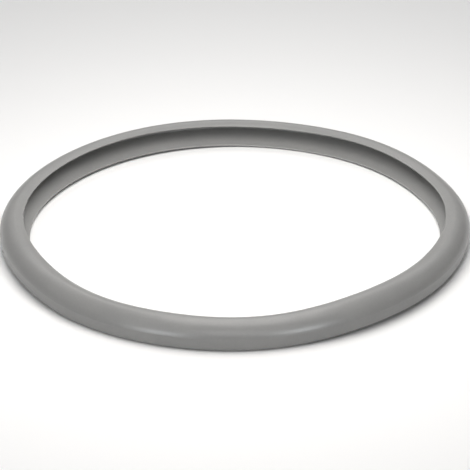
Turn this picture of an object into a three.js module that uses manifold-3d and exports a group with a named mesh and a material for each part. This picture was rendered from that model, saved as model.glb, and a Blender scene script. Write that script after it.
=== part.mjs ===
// Sealing ring (gasket) of a 22 cm stovetop pressure cooker.
// One silicone moulding: a ring with a C section whose groove opens towards the middle.
// Units are millimetres and +Z is up. The origin is at the centre of the flat underside.

import * as THREE from 'three';
import { mergeVertices } from 'three/addons/utils/BufferGeometryUtils.js';
import Module from 'manifold-3d';

// ---- Driving dimensions ----

// The ring as a whole. Depths and reaches below are measured inwards from its outer wall,
// so another diameter keeps the same section.
const outerDiameter = 220;
const ringHeight = 12.1;

// Outer wall: a square heel at the underside, the widest line, then a sloping shoulder
const widestHeight = 5.6;
const heelInset = 2.2;
const heelSquareness = 5;
const shoulderInset = 7.2;
const shoulderFullness = 1.6;

// Brow, where the shoulder stops short of level and the flat sealing band begins: how far round
// the shoulder it is, and how far its corner lies outside the crown
const browAngle = 72;
const browRun = 0.65;

// Upper lip, the shorter one, which droops a little from the crown to its edge
const upperLipReach = 11.3;
const upperLipDroop = 1.1;
const upperLipEdge = 0.7;

// Lower lip, the longer one, which thins out towards its edge
const lowerLipReach = 13.7;
const lowerLipEdge = 0.9;

// Groove between the lips
const backWall = 2.9;
const roofWall = 2.3;
const roofDepth = 6;
const grooveMiddle = 5.8;
const grooveFloorFullness = 1.2;

// Nib left on the outer wall by the mould, as a small pad with round ends
const nibAngle = 192.5;
const nibMiddle = 2.2;
const nibProud = 0.4;
const nibRoot = 1;
const nibWidth = 2.4;
const nibHeight = 1.4;

// How finely the round shapes are divided
const ringSteps = 96;
const heelSteps = 5;
const shoulderSteps = 9;
const droopSteps = 3;
const grooveSteps = 8;
const nibSteps = 12;

// ---- Sizes that follow ----

const outerRadius = outerDiameter / 2;
const crownRadius = outerRadius - shoulderInset;
const upperLipRadius = outerRadius - upperLipReach;
const lowerLipRadius = outerRadius - lowerLipReach;
const upperLipTop = ringHeight - upperLipDroop;
const grooveBack = outerRadius - backWall;
const grooveRoof = ringHeight - roofWall;

const silicone = new THREE.MeshStandardMaterial({
  color: 0x8c8c8b,
  roughness: 0.5,
  metalness: 0,
});

// A quarter turn of a superellipse, from one angle to another in degrees. Fullness 2 is an
// ellipse, more is squarer and less is nearer to a straight slope. The end point is left out,
// because the next stretch starts there.
function quarter(centre, halfWidth, halfHeight, fullness, fromAngle, toAngle, steps) {
  const points = [];
  for (let step = 0; step < steps; step += 1) {
    const angle = THREE.MathUtils.degToRad(fromAngle + ((toAngle - fromAngle) * step) / steps);
    const across = Math.abs(Math.cos(angle)) ** (2 / fullness);
    const up = Math.sign(Math.sin(angle)) * Math.abs(Math.sin(angle)) ** (2 / fullness);
    points.push(new THREE.Vector2(centre.x + halfWidth * across, centre.y + halfHeight * up));
  }
  return points;
}

// Outer wall from the underside up to the brow.
function outerWall() {
  const heelCentre = new THREE.Vector2(outerRadius - heelInset, widestHeight);
  const heel = quarter(heelCentre, heelInset, widestHeight, heelSquareness, -90, 0, heelSteps);
  const shoulderCentre = new THREE.Vector2(crownRadius, widestHeight);
  const shoulderHeight = ringHeight - widestHeight;
  const shoulder = quarter(
    shoulderCentre, shoulderInset, shoulderHeight, shoulderFullness, 0, browAngle, shoulderSteps,
  );
  const shoulderEnd = quarter(
    shoulderCentre, shoulderInset, shoulderHeight, shoulderFullness, browAngle, 90, 1,
  );
  const brow = new THREE.Vector2(crownRadius + browRun, ringHeight);
  return [...heel, ...shoulder, ...shoulderEnd, brow];
}

// Top of the upper lip, drooping from the crown to the edge, and then the edge itself.
function upperLip() {
  const crown = new THREE.Vector2(crownRadius, ringHeight);
  const handle = new THREE.Vector2((crownRadius + upperLipRadius) / 2, ringHeight);
  const edgeTop = new THREE.Vector2(upperLipRadius, upperLipTop);
  const edgeBottom = new THREE.Vector2(upperLipRadius, upperLipTop - upperLipEdge);
  const droop = new THREE.QuadraticBezierCurve(crown, handle, edgeTop);
  return [...droop.getPoints(droopSteps), edgeBottom];
}

// Groove from its roof round the back wall and down along the lower lip.
function groove() {
  const roofCentre = new THREE.Vector2(grooveBack - roofDepth, grooveMiddle);
  const roof = quarter(
    roofCentre, roofDepth, grooveRoof - grooveMiddle, 2, 90, 0, grooveSteps,
  );
  const floorCentre = new THREE.Vector2(lowerLipRadius, grooveMiddle);
  const floor = quarter(
    floorCentre, grooveBack - lowerLipRadius, grooveMiddle - lowerLipEdge, grooveFloorFullness,
    0, -90, grooveSteps,
  );
  return [...roof, ...floor];
}

// The C section as one outline, with the radius along x and the height along y.
function sectionOutline() {
  const lowerEdgeTop = new THREE.Vector2(lowerLipRadius, lowerLipEdge);
  const lowerEdgeBottom = new THREE.Vector2(lowerLipRadius, 0);
  return [...outerWall(), ...upperLip(), ...groove(), lowerEdgeTop, lowerEdgeBottom];
}

// The outline turned once round the Z axis.
function turnedRing() {
  const outline = sectionOutline();
  outline.push(outline[0].clone());
  const ring = new THREE.LatheGeometry(outline, ringSteps);
  ring.rotateX(Math.PI / 2);
  return ring;
}

// The nib, sunk into the outer wall by its root so that the two join.
function nibPad() {
  const thickness = nibProud + nibRoot;
  const pad = new THREE.CylinderGeometry(nibWidth / 2, nibWidth / 2, thickness, nibSteps);
  pad.scale(1, 1, nibHeight / nibWidth);
  pad.rotateZ(Math.PI / 2);
  pad.translate(outerRadius + nibProud - thickness / 2, 0, nibMiddle);
  pad.rotateZ(THREE.MathUtils.degToRad(nibAngle));
  return pad;
}

// ---- Joining the nib to the ring ----

const wasm = await Module();
wasm.setup();

function solidOf(geometry) {
  const bare = geometry.clone();
  bare.deleteAttribute('normal');
  bare.deleteAttribute('uv');
  const merged = mergeVertices(bare);
  return new wasm.Manifold(new wasm.Mesh({
    numProp: 3,
    vertProperties: new Float32Array(merged.attributes.position.array),
    triVerts: new Uint32Array(merged.index.array),
  }));
}

function geometryOf(solid) {
  const mesh = solid.getMesh();
  const geometry = new THREE.BufferGeometry();
  geometry.setAttribute('position', new THREE.BufferAttribute(mesh.vertProperties, 3));
  geometry.setIndex(new THREE.BufferAttribute(mesh.triVerts, 1));
  geometry.computeVertexNormals();
  return geometry;
}

const moulding = solidOf(turnedRing()).add(solidOf(nibPad()));

const sealingRing = new THREE.Mesh(geometryOf(moulding), silicone);
sealingRing.name = 'sealing_ring';

const pressureCookerSeal = new THREE.Group();
pressureCookerSeal.add(sealingRing);

export default pressureCookerSeal;
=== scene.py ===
# %% [markdown]
# # A pressure cooker's sealing ring, in Blender
#
# The real thing is one soft moulding: a grey silicone ring, 22 cm across, that sits in the lid of a
# stovetop pressure cooker and keeps the steam in. Cut through, it shows a C that opens towards the
# middle. The upper lip is short, the lower lip is longer, and the wall behind them is thick.
#
# The design of the part is already settled. This file loads it as a fixed frame, takes its
# size from it, and builds the ring again with the fine surface that the plain design leaves out.

# %% Load the frame
import math

import bpy
import numpy as np
from mathutils import Matrix, Vector


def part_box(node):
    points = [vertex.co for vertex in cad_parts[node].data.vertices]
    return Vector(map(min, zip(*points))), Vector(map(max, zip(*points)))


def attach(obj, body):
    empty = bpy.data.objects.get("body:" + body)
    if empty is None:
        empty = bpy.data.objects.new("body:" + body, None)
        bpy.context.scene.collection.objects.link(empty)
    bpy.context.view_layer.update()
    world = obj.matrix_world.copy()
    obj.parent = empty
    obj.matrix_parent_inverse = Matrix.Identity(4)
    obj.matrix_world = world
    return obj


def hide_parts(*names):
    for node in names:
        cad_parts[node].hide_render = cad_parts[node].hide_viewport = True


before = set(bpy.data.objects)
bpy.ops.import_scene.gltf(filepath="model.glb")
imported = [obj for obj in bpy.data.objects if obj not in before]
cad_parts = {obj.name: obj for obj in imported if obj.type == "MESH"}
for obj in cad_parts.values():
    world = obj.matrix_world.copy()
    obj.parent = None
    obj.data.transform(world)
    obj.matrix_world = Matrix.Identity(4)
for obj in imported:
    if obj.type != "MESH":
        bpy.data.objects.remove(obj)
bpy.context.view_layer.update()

# %% [markdown]
# ## Sizes
#
# Blender works in metres, and a gasket is easier to think about in millimetres, so one name, `mm`,
# carries the change. The outer radius and the height come from the frame. The rest of the section is
# measured inwards from the outer wall or up from the underside, which is how a rubber moulder's drawing
# gives it, so a ring for another cooker would keep the same section on another diameter.

# %% Sizes of the section
mm = 0.001
ring_low, ring_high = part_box("sealing_ring")
outer_radius = (ring_high.y - ring_low.y) / 2
ring_height = ring_high.z - ring_low.z

widest_height = 5.6 * mm
heel_inset = 2.2 * mm
heel_squareness = 5
shoulder_inset = 7.2 * mm
shoulder_fullness = 1.6
brow_angle = 72
brow_run = 0.65 * mm

upper_lip_reach = 11.3 * mm
upper_lip_droop = 1.1 * mm
upper_lip_edge = 0.7 * mm

lower_lip_reach = 13.7 * mm
lower_lip_edge = 0.9 * mm

back_wall = 2.9 * mm
roof_wall = 2.3 * mm
roof_depth = 6.0 * mm
groove_middle = 5.8 * mm
floor_fullness = 1.2

crown_radius = outer_radius - shoulder_inset
upper_lip_radius = outer_radius - upper_lip_reach
lower_lip_radius = outer_radius - lower_lip_reach
groove_back = outer_radius - back_wall
print(f"ring: {2 * outer_radius / mm:.1f} mm across, {ring_height / mm:.1f} mm tall")

# %% [markdown]
# ## The section, stretch by stretch
#
# A moulded section is a chain of smooth stretches. Two kinds are enough here. A quarter of a
# superellipse makes a rounded corner, and its fullness says how square or how slanting it is. A bend
# makes an easy curve between two points, pulled towards a handle. Each stretch leaves out its last
# point, because the next one starts there. A modifier could round a coarse outline instead, but then
# the sizes on the drawing would no longer be the sizes of the surface.

# %% Two kinds of stretch
def quarter(centre, half_width, half_height, fullness, from_angle, to_angle, steps):
    """Part of a superellipse, as (radius, height) points, with angles in degrees."""
    points = []
    for angle in np.radians(np.linspace(from_angle, to_angle, steps, endpoint=False)):
        across = abs(math.cos(angle)) ** (2 / fullness) * np.sign(math.cos(angle))
        up = abs(math.sin(angle)) ** (2 / fullness) * np.sign(math.sin(angle))
        points.append((centre[0] + half_width * across, centre[1] + half_height * up))
    return points


def bend(start, handle, end, steps):
    """An easy curve from start to end, pulled towards the handle."""
    points = []
    for share in np.linspace(0, 1, steps, endpoint=False):
        weights = ((1 - share) ** 2, 2 * share * (1 - share), share ** 2)
        corners = (start, handle, end)
        points.append(tuple(sum(w * c[axis] for w, c in zip(weights, corners)) for axis in (0, 1)))
    return points


# %% [markdown]
# ## The outer wall
#
# The heel is nearly square, so that the ring stands firmly in the lid's channel. Above its widest line
# the wall leans inwards in a long shoulder. The shoulder doesn't melt into the top. It stops at a soft
# brow, and the flat sealing band starts there, which is why the band shows as a stripe of its own.

# %% Outer wall
band_start = 0.1 * mm
crown_start = (crown_radius + band_start, ring_height)
shoulder_height = ring_height - widest_height

heel = quarter((outer_radius - heel_inset, widest_height), heel_inset, widest_height,
               heel_squareness, -90, 0, 40)
shoulder = quarter((crown_radius, widest_height), shoulder_inset, shoulder_height,
                   shoulder_fullness, 0, brow_angle, 40)
brow_start = quarter((crown_radius, widest_height), shoulder_inset, shoulder_height,
                     shoulder_fullness, brow_angle, 90, 1)[0]
brow = bend(brow_start, (crown_radius + brow_run, ring_height), crown_start, 8)
print("outer wall:", len(heel) + len(shoulder) + len(brow), "points")

# %% [markdown]
# ## The two lips and the groove
#
# The upper lip droops a little from the crown and ends in a thin nose, which is the edge that shows as
# a crisp line. The groove is a smooth hollow: steam gets in there and presses the lips apart. Its floor
# runs out along the lower lip, which thins towards its own nose. A nose is a half turn of an ellipse,
# so both lips have an edge with a real roundness and no knife edge. A short lead joins the thin upper
# nose to the thicker roof of the groove.

# %% Lips and groove
upper_nose = 0.45 * mm
lower_nose = 0.40 * mm
droop_handle_drop = 0.05 * mm
lead_run = 4 * upper_nose
upper_top = ring_height - upper_lip_droop
upper_middle = upper_top - upper_lip_edge / 2
lower_middle = lower_lip_edge / 2

droop_handle = ((crown_radius + upper_lip_radius) / 2, ring_height - droop_handle_drop)
droop = bend(crown_start, droop_handle, (upper_lip_radius + upper_nose, upper_top), 24)
upper_edge = quarter((upper_lip_radius + upper_nose, upper_middle), upper_nose,
                     upper_lip_edge / 2, 2, 90, 270, 16)
roof_start = (groove_back - roof_depth, ring_height - roof_wall)
roof_lead = bend((upper_lip_radius + upper_nose, upper_top - upper_lip_edge),
                 (upper_lip_radius + lead_run, roof_start[1]), roof_start, 8)
roof = quarter((roof_start[0], groove_middle), roof_depth, roof_start[1] - groove_middle,
               2, 90, 0, 30)
floor = quarter((lower_lip_radius + lower_nose, groove_middle),
                groove_back - lower_lip_radius - lower_nose, groove_middle - lower_lip_edge,
                floor_fullness, 0, -90, 40)
lower_edge = quarter((lower_lip_radius + lower_nose, lower_middle), lower_nose,
                     lower_lip_edge / 2, 2, 90, 270, 16)
underside = bend((lower_lip_radius + lower_nose, 0), (crown_radius, 0),
                 (outer_radius - heel_inset, 0), 30)

drawn_section = np.array(heel + shoulder + brow + droop + upper_edge + roof_lead + roof + floor
                         + lower_edge + underside)
print("section as drawn:", len(drawn_section), "points")

# %% [markdown]
# ## Even steps along the section
#
# The stretches put their points where their formulas do, close together in one place and far apart in
# another. Shading and fine relief both want even steps, so the closed outline is walked once and a
# point is set down every quarter of a millimetre.

# %% Even steps
section_step = 0.25 * mm


def evenly_spaced(outline, step):
    """The closed outline again, with its points an even step apart."""
    closed = np.vstack([outline, outline[:1]])
    lengths = np.linalg.norm(np.diff(closed, axis=0), axis=1)
    travelled = np.concatenate([[0], np.cumsum(lengths)])
    stops = np.linspace(0, travelled[-1], round(travelled[-1] / step), endpoint=False)
    return np.stack([np.interp(stops, travelled, closed[:, axis]) for axis in (0, 1)], axis=1)


section = evenly_spaced(drawn_section, section_step)
print("section as built:", len(section), "points")

# %% [markdown]
# ## Waves in a soft ring
#
# A perfect circle is what gives a computer model away. Silicone is soft, and a ring that has been
# packed flat is never quite round or quite flat. A few slow waves bend it, each with its number of
# crests round the ring, its height and where its first crest points. One set works sideways and leaves
# the ring slightly out of round. A second works up and down, and the ring is then lifted so that its
# lowest place still touches the floor. A third moves only the upper lip, whose thin edge is the softest
# place and lifts and sinks a little on its own.
#
# The stations round the ring are chosen here too: even ones all the way, and some closer together where
# the mould's nib will stand, because it is narrower than one even step.

# %% Slow waves round the ring
sideways_waves = [(3, 0.24, 17), (4, 0.39, -4), (6, 0.17, -4), (8, 0.14, 0)]
upright_waves = [(2, 0.68, -24), (3, 0.18, -38), (4, 0.20, 36), (7, 0.15, -1), (8, 0.09, -14)]
lip_waves = [(2, 0.29, -4), (3, 0.07, 27), (4, 0.08, 17), (6, 0.12, 5), (7, 0.06, -3)]


def wander(angles, waves):
    """The sum of some waves (crests, height in mm, first crest in degrees) at the given angles."""
    total = np.zeros_like(angles)
    for crests, height, first_crest in waves:
        total += height * mm * np.cos(crests * (angles - math.radians(first_crest)))
    return total


even_stations = 480
nib_stations = 17
nib_angle = math.radians(192.5)
nib_spread = math.radians(1.2)
even_angles = np.linspace(0, 2 * math.pi, even_stations, endpoint=False)
nib_angles = nib_angle + np.linspace(-nib_spread, nib_spread, nib_stations)
angles = np.unique(np.concatenate([even_angles, nib_angles]))

out_of_round = wander(angles, sideways_waves)
out_of_flat = wander(angles, upright_waves)
lip_wander = wander(angles, lip_waves)
lift = -out_of_flat.min()
print(f"out of round by {np.ptp(out_of_round) / mm:.2f} mm")
print(f"out of flat by {np.ptp(out_of_flat) / mm:.2f} mm")

# %% [markdown]
# ## Marks of the mould
#
# The mould closes along the widest line of the outer wall and leaves a hair of flash there, too low to
# feel but enough to catch a light. Low on the wall is a small nib, the stub of a vent. Both are moved
# points, not bump, so they are in the mesh itself.

# %% Flash and nib
flash_proud = 0.05 * mm
flash_half = 0.22 * mm
nib_proud = 0.4 * mm
nib_middle = 2.2 * mm
nib_half_width = 1.2 * mm
nib_half_height = 0.7 * mm
off_the_nib = 9

is_outer = section[:, 0] > outer_radius - heel_inset
flash = flash_proud * np.exp(-((section[:, 1] - widest_height) / flash_half) ** 2) * is_outer

along = (angles - nib_angle) * outer_radius / nib_half_width
upwards = (section[:, 1] - nib_middle) / nib_half_height
nib_reach = along[:, None] ** 2 + np.where(is_outer, upwards, off_the_nib)[None, :] ** 2
nib = nib_proud * np.sqrt(np.clip(1 - nib_reach, 0, 1))
print(f"flash {flash.max() / mm:.2f} mm proud, nib {nib.max() / mm:.2f} mm proud")

# %% [markdown]
# ## Turning the section
#
# Blender's Screw modifier could turn the outline, but every station here has its own place and height,
# so the points are worked out as one table, stations by section points, and joined by four-sided faces.
# The upper lip's own waves reach their full height at its nose and die away towards the crown, and they
# leave everything under the middle of the groove alone.

# %% Turn the section into a mesh
lip_softness = 1.5
lip_share = np.clip((crown_radius - section[:, 0]) / (crown_radius - upper_lip_radius), 0, 1)
lip_share = lip_share ** lip_softness * (section[:, 1] > groove_middle)

radii = section[None, :, 0] + out_of_round[:, None] + flash[None, :] + nib
heights = section[None, :, 1] + out_of_flat[:, None] + lift
heights += lip_wander[:, None] * lip_share[None, :]
points = np.stack([radii * np.cos(angles)[:, None],
                   radii * np.sin(angles)[:, None],
                   heights], axis=-1).reshape(-1, 3)

stations, across = len(angles), len(section)
here = np.arange(stations)[:, None] * across + np.arange(across)[None, :]
there = np.roll(here, -1, axis=0)
faces = np.stack([here, there, np.roll(there, -1, axis=1), np.roll(here, -1, axis=1)], axis=-1)

ring_mesh = bpy.data.meshes.new("silicone_ring")
ring_mesh.from_pydata(points.tolist(), [], faces.reshape(-1, 4).tolist())
ring_mesh.update()
ring_mesh.shade_smooth()
silicone_ring = bpy.data.objects.new("silicone_ring", ring_mesh)
bpy.context.scene.collection.objects.link(silicone_ring)
print("ring mesh:", len(ring_mesh.vertices), "vertices,", len(ring_mesh.polygons), "faces")

# %% [markdown]
# ## Where hands have rubbed
#
# A lip's edge is what fingers and the pot's rim touch, so the fine bloom on new silicone is rubbed away
# there first and the edge turns slightly paler and smoother. The mesh knows how far each point is from
# the two noses, so it carries that as a named value, and the material reads it by name.

# %% Rubbed edges
rub_width = 0.9 * mm
to_upper_nose = np.hypot(section[:, 0] - upper_lip_radius, section[:, 1] - upper_middle)
to_lower_nose = np.hypot(section[:, 0] - lower_lip_radius, section[:, 1] - lower_middle)
rubbed = np.exp(-(np.minimum(to_upper_nose, to_lower_nose) / rub_width) ** 2)

rubbed_layer = ring_mesh.attributes.new("rubbed", "FLOAT", "POINT")
rubbed_layer.data.foreach_set("value", np.tile(rubbed, stations))
print(f"rubbed: {100 * (rubbed > 0.5).mean():.0f} % of the section's points")

# %% [markdown]
# ## Silicone: the helpers
#
# Moulded silicone is a plain material with quiet variation in it, and noise in the object's own space
# gives that without any unwrapping. Four helpers keep the recipe short. `blotches` is a noise whose
# spots have a real size in metres, and `stretched` turns its middle range into a range of one's own.
# `sum_of` adds values and `mixed` goes from one colour to another. A mix node has sockets for every
# kind of value at once: number 6 and 7 are its two colours, and output 2 is the mixed colour.

# %% Helpers for the silicone
silicone = bpy.data.materials.new("grey_silicone")
silicone.use_nodes = True
tree = silicone.node_tree
shader = tree.nodes["Principled BSDF"]
place = tree.nodes.new("ShaderNodeTexCoord").outputs["Object"]


def blotches(size, detail):
    """Noise with spots of about this size, as a grey from 0 to 1."""
    noise = tree.nodes.new("ShaderNodeTexNoise")
    noise.inputs["Scale"].default_value = 1 / size
    noise.inputs["Detail"].default_value = detail
    tree.links.new(place, noise.inputs["Vector"])
    return noise.outputs["Fac"]


def stretched(value, low, high, from_low=0.3, from_high=0.7):
    """The value, taken from one range to another and held at its ends."""
    ranged = tree.nodes.new("ShaderNodeMapRange")
    ranged.inputs["From Min"].default_value = from_low
    ranged.inputs["From Max"].default_value = from_high
    ranged.inputs["To Min"].default_value = low
    ranged.inputs["To Max"].default_value = high
    tree.links.new(value, ranged.inputs["Value"])
    return ranged.outputs["Result"]


def sum_of(*values):
    """The values added up."""
    total = values[0]
    for value in values[1:]:
        adder = tree.nodes.new("ShaderNodeMath")
        tree.links.new(total, adder.inputs[0])
        tree.links.new(value, adder.inputs[1])
        total = adder.outputs["Value"]
    return total


def mixed(share, first, second):
    """A colour that goes from first to second with the share; each may be a socket or a colour."""
    mixer = tree.nodes.new("ShaderNodeMix")
    mixer.data_type = "RGBA"
    tree.links.new(share, mixer.inputs["Factor"])
    for socket, colour in ((mixer.inputs[6], first), (mixer.inputs[7], second)):
        if isinstance(colour, tuple):
            socket.default_value = colour
        else:
            tree.links.new(colour, socket)
    return mixer.outputs[2]


# %% [markdown]
# ## Silicone: colour
#
# The pigment is a neutral mid grey, a touch warmer where it is paler. Stirring leaves clouds of a
# centimetre or so and a finer mottling inside them, both very faint. The rubbed edges are a little
# paler. Silicone also pulls lint out of the air, so a few pale specks a tenth of a millimetre wide lie
# on it. They come from a cell texture: a speck is the middle of a cell, and only some cells have one.

# %% Colour
deep_grey = (0.246, 0.247, 0.245, 1)
pale_grey = (0.276, 0.275, 0.270, 1)
rubbed_grey = (0.300, 0.299, 0.294, 1)
lint_white = (0.50, 0.49, 0.47, 1)
cloud_size = 14 * mm
mottle_size = 1.1 * mm
lint_spacing = 4.5 * mm

clouds = sum_of(stretched(blotches(cloud_size, 3), 0, 0.6), stretched(blotches(mottle_size, 4), 0, 0.4))
pigment = mixed(clouds, deep_grey, pale_grey)

rubbed_value = tree.nodes.new("ShaderNodeAttribute")
rubbed_value.attribute_name = "rubbed"
worn = mixed(stretched(rubbed_value.outputs["Fac"], 0, 0.7, 0, 1), pigment, rubbed_grey)

cells = tree.nodes.new("ShaderNodeTexVoronoi")
cells.inputs["Scale"].default_value = 1 / lint_spacing
tree.links.new(place, cells.inputs["Vector"])
cell_pick = tree.nodes.new("ShaderNodeSeparateColor")
tree.links.new(cells.outputs["Color"], cell_pick.inputs["Color"])
near_middle = stretched(cells.outputs["Distance"], 0.6, 0, 0.02, 0.05)
has_lint = stretched(cell_pick.outputs["Red"], 0, 1, 0.55, 0.60)
lint = tree.nodes.new("ShaderNodeMath")
lint.operation = "MULTIPLY"
tree.links.new(near_middle, lint.inputs[0])
tree.links.new(has_lint, lint.inputs[1])
tree.links.new(mixed(lint.outputs["Value"], worn, lint_white), shader.inputs["Base Color"])
print("colour: from", deep_grey[:3], "to", pale_grey[:3])

# %% [markdown]
# ## Silicone: gloss
#
# The finish is satin. It has no clear coat, so the gloss is the shader's own, with the refractive index
# of silicone rubber set straight on the socket. Only the roughness varies: a polished mould leaves
# some places smoother than others, and the rubbed edges shine a little more.

# %% Gloss
satin_low, satin_high = 0.30, 0.36
rub_polish = -0.05
satin_patch = 9 * mm

satin = stretched(blotches(satin_patch, 3), satin_low, satin_high)
polish = stretched(rubbed_value.outputs["Fac"], 0, rub_polish, 0, 1)
tree.links.new(sum_of(satin, polish), shader.inputs["Roughness"])
shader.inputs["IOR"].default_value = 1.41
print(f"gloss: roughness {satin_low} to {satin_high}, {-rub_polish} less at the edges")

# %% [markdown]
# ## Silicone: relief
#
# Three reliefs lie over each other, and all are too fine for the mesh. The mould was turned on a lathe,
# so faint tool lines run round the ring: a noise of one dimension, read along a line that grows with
# the radius and the height, is the same all the way round. A pebble of a tenth of a millimetre breaks
# up the gloss, and soft dents a few millimetres wide keep long highlights from being ruler-straight.
# The heights are real ones in metres, so the bump's distance is 1.

# %% Relief
tool_line_pitch = 0.35 * mm
tool_line_height = 0.003 * mm
pebble_size = 0.12 * mm
pebble_height = 0.004 * mm
dent_size = 6 * mm
dent_height = 0.03 * mm

parts = tree.nodes.new("ShaderNodeSeparateXYZ")
tree.links.new(place, parts.inputs["Vector"])
flat_place = tree.nodes.new("ShaderNodeCombineXYZ")
tree.links.new(parts.outputs["X"], flat_place.inputs["X"])
tree.links.new(parts.outputs["Y"], flat_place.inputs["Y"])
radius = tree.nodes.new("ShaderNodeVectorMath")
radius.operation = "LENGTH"
tree.links.new(flat_place.outputs["Vector"], radius.inputs[0])

tool_lines = tree.nodes.new("ShaderNodeTexNoise")
tool_lines.noise_dimensions = "1D"
tool_lines.inputs["Scale"].default_value = 1 / tool_line_pitch
tree.links.new(sum_of(radius.outputs["Value"], parts.outputs["Z"]), tool_lines.inputs["W"])

relief = tree.nodes.new("ShaderNodeBump")
relief.inputs["Distance"].default_value = 1
height = sum_of(stretched(tool_lines.outputs["Fac"], 0, tool_line_height, 0, 1),
                stretched(blotches(pebble_size, 2), 0, pebble_height, 0, 1),
                stretched(blotches(dent_size, 1), 0, dent_height, 0, 1))
tree.links.new(height, relief.inputs["Height"])
tree.links.new(relief.outputs["Normal"], shader.inputs["Normal"])
ring_mesh.materials.append(silicone)
print("relief:", len(tree.nodes), "nodes in the silicone")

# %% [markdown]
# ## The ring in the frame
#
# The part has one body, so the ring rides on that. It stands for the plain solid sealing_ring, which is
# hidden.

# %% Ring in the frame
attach(silicone_ring, "root")
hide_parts("sealing_ring")
print("silicone_ring rides on root and stands for sealing_ring")

# %% [markdown]
# ## Floor
#
# A product picture of a small part is taken on white paper. The paper is a plain plane, a hair's
# breadth below the ring so that the two don't share a surface, and it is rough so that it doesn't
# mirror the ring. Its brightness matters as much as a lamp's, because it fills the wall's lower half
# with light from below.

# %% Floor
paper_size = 8
paper_white = 0.9
paper_gap = 0.2 * mm
bpy.ops.mesh.primitive_plane_add(size=paper_size, location=(0, 0, -paper_gap))
studio_floor = bpy.context.object
studio_floor.name = "studio_floor"
paper = bpy.data.materials.new("white_paper")
paper.use_nodes = True
paper_shader = paper.node_tree.nodes["Principled BSDF"]
paper_shader.inputs["Base Color"].default_value = (paper_white, paper_white, paper_white, 1)
paper_shader.inputs["Roughness"].default_value = 0.9
studio_floor.data.materials.append(paper)
print(f"floor: {paper_size} m of paper, {paper_gap / mm} mm below the ring")

# %% [markdown]
# ## Camera
#
# The ring is seen from a little above, as something lying on a table is. A long lens from about eight
# ring radii away keeps the far side nearly as large as the near side. The camera looks at the middle of
# the ring, just under half its height, and then turns by a fraction of a degree for the framing. Its
# axes are worked out from the direction of view, so that the turns don't depend on their order.

# %% Camera
camera_elevation = math.radians(26.96)
camera_distance = 8.0 * outer_radius
camera_lens = 142.3
turn_right = math.radians(0.018)
turn_down = math.radians(0.472)
camera_roll = math.radians(-0.615)
aim_height = 5.7 * mm

ring_centre = Vector((0, 0, aim_height + lift))
forward = Vector((0, math.cos(camera_elevation), -math.sin(camera_elevation)))
upward = Vector((0, math.sin(camera_elevation), math.cos(camera_elevation)))
rightward = Vector((1, 0, 0))
view_direction = forward + rightward * math.tan(turn_right) - upward * math.tan(turn_down)
view_direction.normalize()

camera_data = bpy.data.cameras.new("studio_camera")
camera_data.sensor_width = 36
camera_data.lens = camera_lens
studio_camera = bpy.data.objects.new("studio_camera", camera_data)
bpy.context.scene.collection.objects.link(studio_camera)
across_view = view_direction.cross(upward).normalized()
up_view = across_view.cross(view_direction)
axes = Matrix((across_view, up_view, -view_direction)).transposed()
axes = axes @ Matrix.Rotation(camera_roll, 3, "Z")
studio_camera.matrix_world = Matrix.Translation(ring_centre - forward * camera_distance) @ axes.to_4x4()
bpy.context.scene.camera = studio_camera
print(f"camera: {camera_distance:.2f} m away with a {camera_lens} mm lens")

# %% [markdown]
# ## Lights
#
# One small softbox hangs close over the ring. Because it is near, it lights every part of the ring from
# the inside: the lips and the groove's floor are bright and the outer wall falls away. A large softbox
# above the camera fills the near shoulder, a tall strip fills the left and a small softbox the right.
# Behind the ring stands a dim white wall, which is what the crown mirrors where it is seen at a
# glancing angle, and a wide light keeps the paper pale there. Two cards make the soft glints on the
# near shoulder. A card shows in gloss only, so it can be bright without washing the wall out. The whole
# room adds a faint even light.
#
# Places are given as on a lighting plan: so many degrees round from the camera, positive to the right,
# so many degrees up, and so many metres from the ring.

# %% A studio light
def studio_light(name, round_from_camera, up, distance, width, height, watts, tint=(1, 1, 1)):
    """A rectangular soft light that faces the ring and isn't itself in the picture."""
    lamp = bpy.data.lights.new(name, "AREA")
    lamp.shape = "RECTANGLE"
    lamp.size = width
    lamp.size_y = height
    lamp.energy = watts
    lamp.color = tint
    light = bpy.data.objects.new(name, lamp)
    bpy.context.scene.collection.objects.link(light)
    turn, tilt = math.radians(round_from_camera), math.radians(up)
    away = Vector((math.sin(turn) * math.cos(tilt), -math.cos(turn) * math.cos(tilt), math.sin(tilt)))
    light.location = ring_centre + away * distance
    light.rotation_euler = (-away).to_track_quat("-Z", "Y").to_euler()
    light.visible_camera = False
    return light


# %% Lights
warm = (1, 0.98, 0.955)
cool = (0.94, 0.98, 1)
studio_light("overhead_softbox", 0, 84, 0.30, width=0.25, height=0.25, watts=0.92, tint=warm)
studio_light("front_softbox", -4, 40, 1.0, width=0.50, height=0.40, watts=1.8)
studio_light("back_wall", 180, 28, 1.2, width=1.80, height=0.80, watts=1.3, tint=warm)
studio_light("paper_light", 180, 50, 0.80, width=1.40, height=0.30, watts=2.4)
studio_light("left_strip", -48, 32, 1.2, width=0.16, height=1.2, watts=1.6)
studio_light("right_softbox", 68, 62, 1.2, width=0.60, height=0.60, watts=0.5)

for name, round_from_camera, up, width, watts in (
    ("left_card", -34, 11, 0.14, 6.2),
    ("right_card", 30, 20, 0.20, 6.2),
):
    card = studio_light(name, round_from_camera, up, 1.2, width, height=0.5, watts=watts, tint=cool)
    card.visible_diffuse = False

room_brightness = 0.13
room = bpy.data.worlds.new("studio_room")
room.use_nodes = True
room_light = room.node_tree.nodes["Background"]
room_light.inputs["Color"].default_value = (1, 1, 1, 1)
room_light.inputs["Strength"].default_value = room_brightness
bpy.context.scene.world = room
bpy.context.scene.view_settings.view_transform = "Standard"
